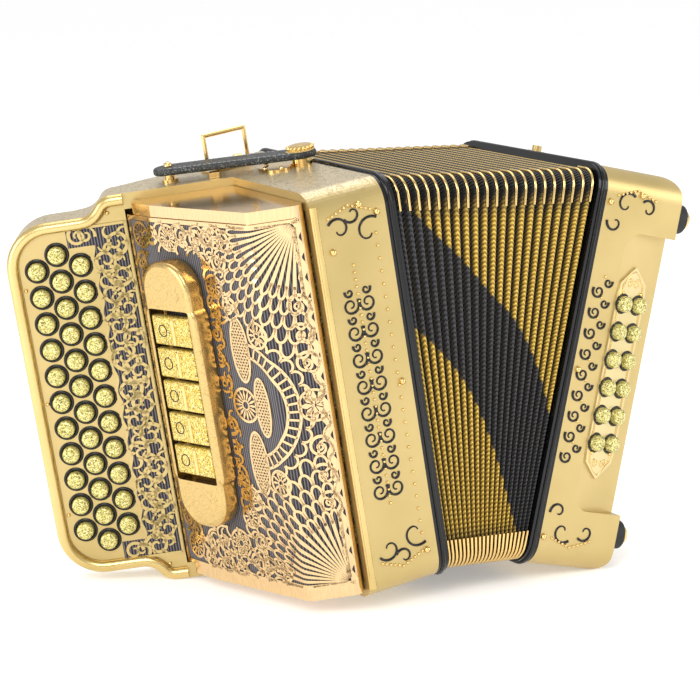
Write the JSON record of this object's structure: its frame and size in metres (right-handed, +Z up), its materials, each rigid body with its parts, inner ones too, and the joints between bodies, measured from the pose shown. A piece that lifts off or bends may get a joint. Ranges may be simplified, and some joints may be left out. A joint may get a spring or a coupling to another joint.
{
  "type": "button accordion",
  "caption": "Button accordion standing with its bellows fanned open, with a slanted button fingerboard, bent grille, register tablets, fluted bellows and a bass side with hand strap.",
  "frame": {"origin": "centre of the object's box at floor level", "axes": "+X runs along the bellows from the treble side to the bass side, the front faces -Y, +Z is up"},
  "size_m": [0.4518, 0.233, 0.3294],
  "materials": {
    "gold_shell": "satin gold lacquer",
    "board_plate": "engraved, gold anodised",
    "grille_gold": "polished rose gold",
    "register_gold": "satin engraved",
    "tablet": "glittered celluloid",
    "button": "glittered celluloid",
    "steel": "ground",
    "reed_wood": "planed",
    "brass_fittings": "polished",
    "strap_leather": "stitched",
    "frame_black": "polished",
    "bellows_cloth": "gold cloth with a dark band",
    "bass_plate": "engraved",
    "foot_rubber": "moulded"
  },
  "bodies": {
    "treble": {"treble_casing": "gold_shell", "fingerboard": "board_plate", "key_axle": "steel", "grille": "grille_gold", "register_housing": "register_gold", "treble_soundboard": "reed_wood", "strap_fittings": "brass_fittings", "treble_bellows_frame": "frame_black", "bellows_folds": "bellows_cloth"},
    "bass": {"bass_bellows_frame": "frame_black", "bass_casing": "gold_shell", "bass_button_plate": "bass_plate", "bass_reed_block": "reed_wood", "bass_feet": "foot_rubber", "hand_strap": "strap_leather"},
    "key_01": {"treble_key_01": "button"},
    "key_02": {"treble_key_02": "button"},
    "key_03": {"treble_key_03": "button"},
    "key_04": {"treble_key_04": "button"},
    "key_05": {"treble_key_05": "button"},
    "key_06": {"treble_key_06": "button"},
    "key_07": {"treble_key_07": "button"},
    "key_08": {"treble_key_08": "button"},
    "key_09": {"treble_key_09": "button"},
    "key_10": {"treble_key_10": "button"},
    "key_11": {"treble_key_11": "button"},
    "key_12": {"treble_key_12": "button"},
    "key_13": {"treble_key_13": "button"},
    "key_14": {"treble_key_14": "button"},
    "key_15": {"treble_key_15": "button"},
    "key_16": {"treble_key_16": "button"},
    "key_17": {"treble_key_17": "button"},
    "key_18": {"treble_key_18": "button"},
    "key_19": {"treble_key_19": "button"},
    "key_20": {"treble_key_20": "button"},
    "key_21": {"treble_key_21": "button"},
    "key_22": {"treble_key_22": "button"},
    "key_23": {"treble_key_23": "button"},
    "key_24": {"treble_key_24": "button"},
    "key_25": {"treble_key_25": "button"},
    "key_26": {"treble_key_26": "button"},
    "key_27": {"treble_key_27": "button"},
    "key_28": {"treble_key_28": "button"},
    "key_29": {"treble_key_29": "button"},
    "key_30": {"treble_key_30": "button"},
    "key_31": {"treble_key_31": "button"},
    "key_32": {"treble_key_32": "button"},
    "key_33": {"treble_key_33": "button"},
    "key_34": {"treble_key_34": "button"},
    "register_1": {"register_switch_1": "tablet"},
    "register_2": {"register_switch_2": "tablet"},
    "register_3": {"register_switch_3": "tablet"},
    "register_4": {"register_switch_4": "tablet"},
    "register_5": {"register_switch_5": "tablet"},
    "mute_slider": {"mute_slider": "brass_fittings"},
    "strap_ring": {"strap_ring": "brass_fittings"},
    "bellows_strap": {"bellows_strap": "strap_leather"},
    "bass_inner": {"bass_buttons_inner": "button"},
    "bass_outer": {"bass_buttons_outer": "button"},
    "air_button": {"air_button": "button"}
  },
  "joints": [
    {"name": "bellows_fan", "type": "hinge", "parent": "treble", "child": "bass", "pos_m": [0.04618, -0.00927, 0.01582], "axis": [0, 1, 0], "range_deg": [-21.8, 12], "deforming": ["bellows_folds"]},
    {"name": "press_01", "type": "hinge", "parent": "treble", "child": "key_01", "pos_m": [-0.09146, 0.04767, 0.04855], "axis": [0.1305, 0, -0.9914], "range_deg": [0, 1.81], "stiffness_Nm_per_rad": 1, "springref_deg": -2.86},
    {"name": "press_02", "type": "hinge", "parent": "treble", "child": "key_02", "pos_m": [-0.09402, 0.04767, 0.06798], "axis": [0.1305, 0, -0.9914], "range_deg": [0, 1.81], "stiffness_Nm_per_rad": 1, "springref_deg": -2.86},
    {"name": "press_03", "type": "hinge", "parent": "treble", "child": "key_03", "pos_m": [-0.09658, 0.04767, 0.08741], "axis": [0.1305, 0, -0.9914], "range_deg": [0, 1.81], "stiffness_Nm_per_rad": 1, "springref_deg": -2.86},
    {"name": "press_04", "type": "hinge", "parent": "treble", "child": "key_04", "pos_m": [-0.09914, 0.04767, 0.10684], "axis": [0.1305, 0, -0.9914], "range_deg": [0, 1.81], "stiffness_Nm_per_rad": 1, "springref_deg": -2.86},
    {"name": "press_05", "type": "hinge", "parent": "treble", "child": "key_05", "pos_m": [-0.10169, 0.04767, 0.12627], "axis": [0.1305, 0, -0.9914], "range_deg": [0, 1.81], "stiffness_Nm_per_rad": 1, "springref_deg": -2.86},
    {"name": "press_06", "type": "hinge", "parent": "treble", "child": "key_06", "pos_m": [-0.10425, 0.04767, 0.14571], "axis": [0.1305, 0, -0.9914], "range_deg": [0, 1.81], "stiffness_Nm_per_rad": 1, "springref_deg": -2.86},
    {"name": "press_07", "type": "hinge", "parent": "treble", "child": "key_07", "pos_m": [-0.10681, 0.04767, 0.16514], "axis": [0.1305, 0, -0.9914], "range_deg": [0, 1.81], "stiffness_Nm_per_rad": 1, "springref_deg": -2.86},
    {"name": "press_08", "type": "hinge", "parent": "treble", "child": "key_08", "pos_m": [-0.10937, 0.04767, 0.18457], "axis": [0.1305, 0, -0.9914], "range_deg": [0, 1.81], "stiffness_Nm_per_rad": 1, "springref_deg": -2.86},
    {"name": "press_09", "type": "hinge", "parent": "treble", "child": "key_09", "pos_m": [-0.11193, 0.04767, 0.204], "axis": [0.1305, 0, -0.9914], "range_deg": [0, 1.81], "stiffness_Nm_per_rad": 1, "springref_deg": -2.86},
    {"name": "press_10", "type": "hinge", "parent": "treble", "child": "key_10", "pos_m": [-0.11449, 0.04767, 0.22344], "axis": [0.1305, 0, -0.9914], "range_deg": [0, 1.81], "stiffness_Nm_per_rad": 1, "springref_deg": -2.86},
    {"name": "press_11", "type": "hinge", "parent": "treble", "child": "key_11", "pos_m": [-0.11704, 0.04767, 0.24287], "axis": [0.1305, 0, -0.9914], "range_deg": [0, 1.81], "stiffness_Nm_per_rad": 1, "springref_deg": -2.86},
    {"name": "press_12", "type": "hinge", "parent": "treble", "child": "key_12", "pos_m": [-0.09057, 0.04767, 0.0418], "axis": [0.1305, 0, -0.9914], "range_deg": [0, 2.18], "stiffness_Nm_per_rad": 1, "springref_deg": -2.86},
    {"name": "press_13", "type": "hinge", "parent": "treble", "child": "key_13", "pos_m": [-0.09313, 0.04767, 0.06124], "axis": [0.1305, 0, -0.9914], "range_deg": [0, 2.18], "stiffness_Nm_per_rad": 1, "springref_deg": -2.86},
    {"name": "press_14", "type": "hinge", "parent": "treble", "child": "key_14", "pos_m": [-0.09569, 0.04767, 0.08067], "axis": [0.1305, 0, -0.9914], "range_deg": [0, 2.18], "stiffness_Nm_per_rad": 1, "springref_deg": -2.86},
    {"name": "press_15", "type": "hinge", "parent": "treble", "child": "key_15", "pos_m": [-0.09825, 0.04767, 0.1001], "axis": [0.1305, 0, -0.9914], "range_deg": [0, 2.18], "stiffness_Nm_per_rad": 1, "springref_deg": -2.86},
    {"name": "press_16", "type": "hinge", "parent": "treble", "child": "key_16", "pos_m": [-0.10081, 0.04767, 0.11953], "axis": [0.1305, 0, -0.9914], "range_deg": [0, 2.18], "stiffness_Nm_per_rad": 1, "springref_deg": -2.86},
    {"name": "press_17", "type": "hinge", "parent": "treble", "child": "key_17", "pos_m": [-0.10336, 0.04767, 0.13897], "axis": [0.1305, 0, -0.9914], "range_deg": [0, 2.18], "stiffness_Nm_per_rad": 1, "springref_deg": -2.86},
    {"name": "press_18", "type": "hinge", "parent": "treble", "child": "key_18", "pos_m": [-0.10592, 0.04767, 0.1584], "axis": [0.1305, 0, -0.9914], "range_deg": [0, 2.18], "stiffness_Nm_per_rad": 1, "springref_deg": -2.86},
    {"name": "press_19", "type": "hinge", "parent": "treble", "child": "key_19", "pos_m": [-0.10848, 0.04767, 0.17783], "axis": [0.1305, 0, -0.9914], "range_deg": [0, 2.18], "stiffness_Nm_per_rad": 1, "springref_deg": -2.86},
    {"name": "press_20", "type": "hinge", "parent": "treble", "child": "key_20", "pos_m": [-0.11104, 0.04767, 0.19726], "axis": [0.1305, 0, -0.9914], "range_deg": [0, 2.18], "stiffness_Nm_per_rad": 1, "springref_deg": -2.86},
    {"name": "press_21", "type": "hinge", "parent": "treble", "child": "key_21", "pos_m": [-0.1136, 0.04767, 0.21669], "axis": [0.1305, 0, -0.9914], "range_deg": [0, 2.18], "stiffness_Nm_per_rad": 1, "springref_deg": -2.86},
    {"name": "press_22", "type": "hinge", "parent": "treble", "child": "key_22", "pos_m": [-0.11616, 0.04767, 0.23613], "axis": [0.1305, 0, -0.9914], "range_deg": [0, 2.18], "stiffness_Nm_per_rad": 1, "springref_deg": -2.86},
    {"name": "press_23", "type": "hinge", "parent": "treble", "child": "key_23", "pos_m": [-0.11871, 0.04767, 0.25556], "axis": [0.1305, 0, -0.9914], "range_deg": [0, 2.18], "stiffness_Nm_per_rad": 1, "springref_deg": -2.86},
    {"name": "press_24", "type": "hinge", "parent": "treble", "child": "key_24", "pos_m": [-0.09224, 0.04767, 0.0545], "axis": [0.1305, 0, -0.9914], "range_deg": [0, 2.73], "stiffness_Nm_per_rad": 1, "springref_deg": -2.86},
    {"name": "press_25", "type": "hinge", "parent": "treble", "child": "key_25", "pos_m": [-0.0948, 0.04767, 0.07393], "axis": [0.1305, 0, -0.9914], "range_deg": [0, 2.73], "stiffness_Nm_per_rad": 1, "springref_deg": -2.86},
    {"name": "press_26", "type": "hinge", "parent": "treble", "child": "key_26", "pos_m": [-0.09736, 0.04767, 0.09336], "axis": [0.1305, 0, -0.9914], "range_deg": [0, 2.73], "stiffness_Nm_per_rad": 1, "springref_deg": -2.86},
    {"name": "press_27", "type": "hinge", "parent": "treble", "child": "key_27", "pos_m": [-0.09992, 0.04767, 0.11279], "axis": [0.1305, 0, -0.9914], "range_deg": [0, 2.73], "stiffness_Nm_per_rad": 1, "springref_deg": -2.86},
    {"name": "press_28", "type": "hinge", "parent": "treble", "child": "key_28", "pos_m": [-0.10248, 0.04767, 0.13222], "axis": [0.1305, 0, -0.9914], "range_deg": [0, 2.73], "stiffness_Nm_per_rad": 1, "springref_deg": -2.86},
    {"name": "press_29", "type": "hinge", "parent": "treble", "child": "key_29", "pos_m": [-0.10504, 0.04767, 0.15166], "axis": [0.1305, 0, -0.9914], "range_deg": [0, 2.73], "stiffness_Nm_per_rad": 1, "springref_deg": -2.86},
    {"name": "press_30", "type": "hinge", "parent": "treble", "child": "key_30", "pos_m": [-0.10759, 0.04767, 0.17109], "axis": [0.1305, 0, -0.9914], "range_deg": [0, 2.73], "stiffness_Nm_per_rad": 1, "springref_deg": -2.86},
    {"name": "press_31", "type": "hinge", "parent": "treble", "child": "key_31", "pos_m": [-0.11015, 0.04767, 0.19052], "axis": [0.1305, 0, -0.9914], "range_deg": [0, 2.73], "stiffness_Nm_per_rad": 1, "springref_deg": -2.86},
    {"name": "press_32", "type": "hinge", "parent": "treble", "child": "key_32", "pos_m": [-0.11271, 0.04767, 0.20995], "axis": [0.1305, 0, -0.9914], "range_deg": [0, 2.73], "stiffness_Nm_per_rad": 1, "springref_deg": -2.86},
    {"name": "press_33", "type": "hinge", "parent": "treble", "child": "key_33", "pos_m": [-0.11527, 0.04767, 0.22939], "axis": [0.1305, 0, -0.9914], "range_deg": [0, 2.73], "stiffness_Nm_per_rad": 1, "springref_deg": -2.86},
    {"name": "press_34", "type": "hinge", "parent": "treble", "child": "key_34", "pos_m": [-0.11783, 0.04767, 0.24882], "axis": [0.1305, 0, -0.9914], "range_deg": [0, 2.73], "stiffness_Nm_per_rad": 1, "springref_deg": -2.86},
    {"name": "rock_1", "type": "hinge", "parent": "treble", "child": "register_1", "pos_m": [-0.13978, -0.01093, 0.19812], "axis": [-0.1305, 0, 0.9914], "range_deg": [-5, 5]},
    {"name": "rock_2", "type": "hinge", "parent": "treble", "child": "register_2", "pos_m": [-0.13667, -0.01093, 0.17452], "axis": [-0.1305, 0, 0.9914], "range_deg": [-5, 5]},
    {"name": "rock_3", "type": "hinge", "parent": "treble", "child": "register_3", "pos_m": [-0.13356, -0.01093, 0.15093], "axis": [-0.1305, 0, 0.9914], "range_deg": [-5, 5]},
    {"name": "rock_4", "type": "hinge", "parent": "treble", "child": "register_4", "pos_m": [-0.13046, -0.01093, 0.12733], "axis": [-0.1305, 0, 0.9914], "range_deg": [-5, 5]},
    {"name": "rock_5", "type": "hinge", "parent": "treble", "child": "register_5", "pos_m": [-0.12735, -0.01093, 0.10373], "axis": [-0.1305, 0, 0.9914], "range_deg": [-5, 5]},
    {"name": "mute_slide", "type": "slide", "parent": "treble", "child": "mute_slider", "axis": [0.8696, -0.4802, 0.1145], "range_m": [-0.026, 0]},
    {"name": "ring_swing", "type": "hinge", "parent": "treble", "child": "strap_ring", "pos_m": [-0.07058, 0.04373, 0.30396], "axis": [0.9914, 0, 0.1305], "range_deg": [-80, 10]},
    {"name": "strap_swing", "type": "hinge", "parent": "treble", "child": "bellows_strap", "pos_m": [-0.03832, -0.00927, 0.31173], "axis": [-0.1305, 0, 0.9914], "range_deg": [0, 228]},
    {"name": "bass_press_inner", "type": "slide", "parent": "bass", "child": "bass_inner", "axis": [-0.2692, 0.9606, 0.0686], "range_m": [0, 0.003], "stiffness_N_per_m": 300, "springref_m": -0.003},
    {"name": "bass_press_outer", "type": "slide", "parent": "bass", "child": "bass_outer", "axis": [-0.2692, 0.9606, 0.0686], "range_m": [0, 0.003], "stiffness_N_per_m": 300, "springref_m": -0.003},
    {"name": "air_press", "type": "slide", "parent": "bass", "child": "air_button", "axis": [-0.969, 0, 0.247], "range_m": [0, 0.004], "stiffness_N_per_m": 300, "springref_m": -0.003}
  ]
}
